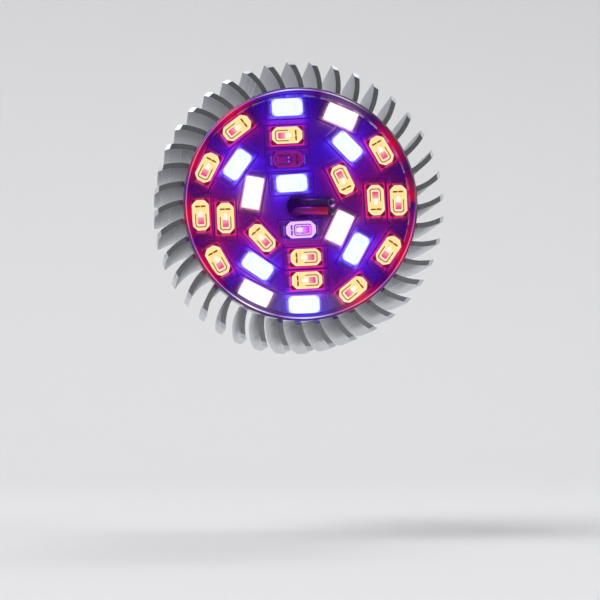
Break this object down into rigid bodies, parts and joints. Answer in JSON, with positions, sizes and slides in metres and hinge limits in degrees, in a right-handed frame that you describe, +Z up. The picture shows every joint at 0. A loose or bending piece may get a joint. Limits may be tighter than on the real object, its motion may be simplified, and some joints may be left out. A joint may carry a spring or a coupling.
{
  "type": "grow light bulb",
  "caption": "Screw-base grow lamp: a ring-patterned board of coloured emitters behind a clear cap, on a round heat sink with curled fins.",
  "frame": {"origin": "tip of the centre contact of the screw cap, on the lamp's axis", "axes": "+Y along the lamp's axis from the face back into the lampholder, so the face looks towards -Y; +Z up as the lamp is seen in its picture; +X to the right of the face"},
  "size_m": [0.052, 0.0742, 0.052],
  "materials": {
    "turned_aluminium": "satin, turned outside",
    "clear_polycarbonate": "clear, polished",
    "silicone_pad": "matte",
    "solder_mask": "gloss solder mask over aluminium",
    "tinned_copper": "tinned",
    "emitter_die": "polished",
    "package_resin": "moulded",
    "red_silicone": "clear silicone, lit",
    "blue_silicone": "clear silicone, lit",
    "white_silicone": "clear silicone, lit",
    "ultraviolet_silicone": "clear silicone, lit",
    "infrared_silicone": "clear silicone, barely lit",
    "red_insulation": "extruded",
    "black_insulation": "extruded",
    "solder": "bright solder",
    "white_polycarbonate": "moulded, satin",
    "zinc_steel": "zinc plated",
    "glass_epoxy": "solder mask over glass epoxy",
    "capacitor_sleeve": "shrunk sleeve",
    "epoxy_dip": "dipped",
    "ferrite": "sintered",
    "enamelled_copper": "enamelled copper wire",
    "black_epoxy": "moulded",
    "resistor_coating": "coated",
    "nickel_plated_brass": "nickel plated, rolled",
    "black_thermoset": "moulded",
    "nickel_plated_contact": "nickel plated, pressed"
  },
  "bodies": {
    "root": {"heat_sink": "turned_aluminium", "clear_cap": "clear_polycarbonate", "thermal_pad": "silicone_pad", "emitter_board": "solder_mask", "board_lands": "tinned_copper", "emitter_dies": "emitter_die", "emitter_terminals": "tinned_copper", "lead_joints": "solder", "red_lead": "red_insulation", "black_lead": "black_insulation", "neck_housing": "white_polycarbonate", "housing_screws": "zinc_steel", "driver_board": "glass_epoxy", "smoothing_capacitor": "capacitor_sleeve", "film_capacitor": "epoxy_dip", "choke_core": "ferrite", "choke_winding": "enamelled_copper", "bridge_rectifier": "black_epoxy", "driver_chip": "black_epoxy", "fuse_resistor": "resistor_coating", "live_wire": "red_insulation", "neutral_wire": "black_insulation", "screw_shell": "nickel_plated_brass", "base_insulator": "black_thermoset", "centre_contact": "nickel_plated_contact", "blue_emitter_01": "package_resin", "blue_emitter_02": "package_resin", "blue_emitter_03": "package_resin", "blue_emitter_04": "package_resin", "blue_emitter_05": "package_resin", "blue_emitter_06": "package_resin", "blue_emitter_07": "package_resin", "red_emitter_01": "package_resin", "red_emitter_02": "package_resin", "red_emitter_03": "package_resin", "red_emitter_04": "package_resin", "red_emitter_05": "package_resin", "red_emitter_06": "package_resin", "red_emitter_07": "package_resin", "red_emitter_08": "package_resin", "red_emitter_09": "package_resin", "red_emitter_10": "package_resin", "red_emitter_11": "package_resin", "red_emitter_12": "package_resin", "red_emitter_13": "package_resin", "red_emitter_14": "package_resin", "red_emitter_15": "package_resin", "white_emitter_01": "package_resin", "white_emitter_02": "package_resin", "white_emitter_03": "package_resin", "white_emitter_04": "package_resin", "ultraviolet_emitter_01": "package_resin", "infrared_emitter_01": "package_resin", "red_resin": "red_silicone", "blue_resin": "blue_silicone", "white_resin": "white_silicone", "ultraviolet_resin": "ultraviolet_silicone", "infrared_resin": "infrared_silicone"}
  },
  "joints": []
}
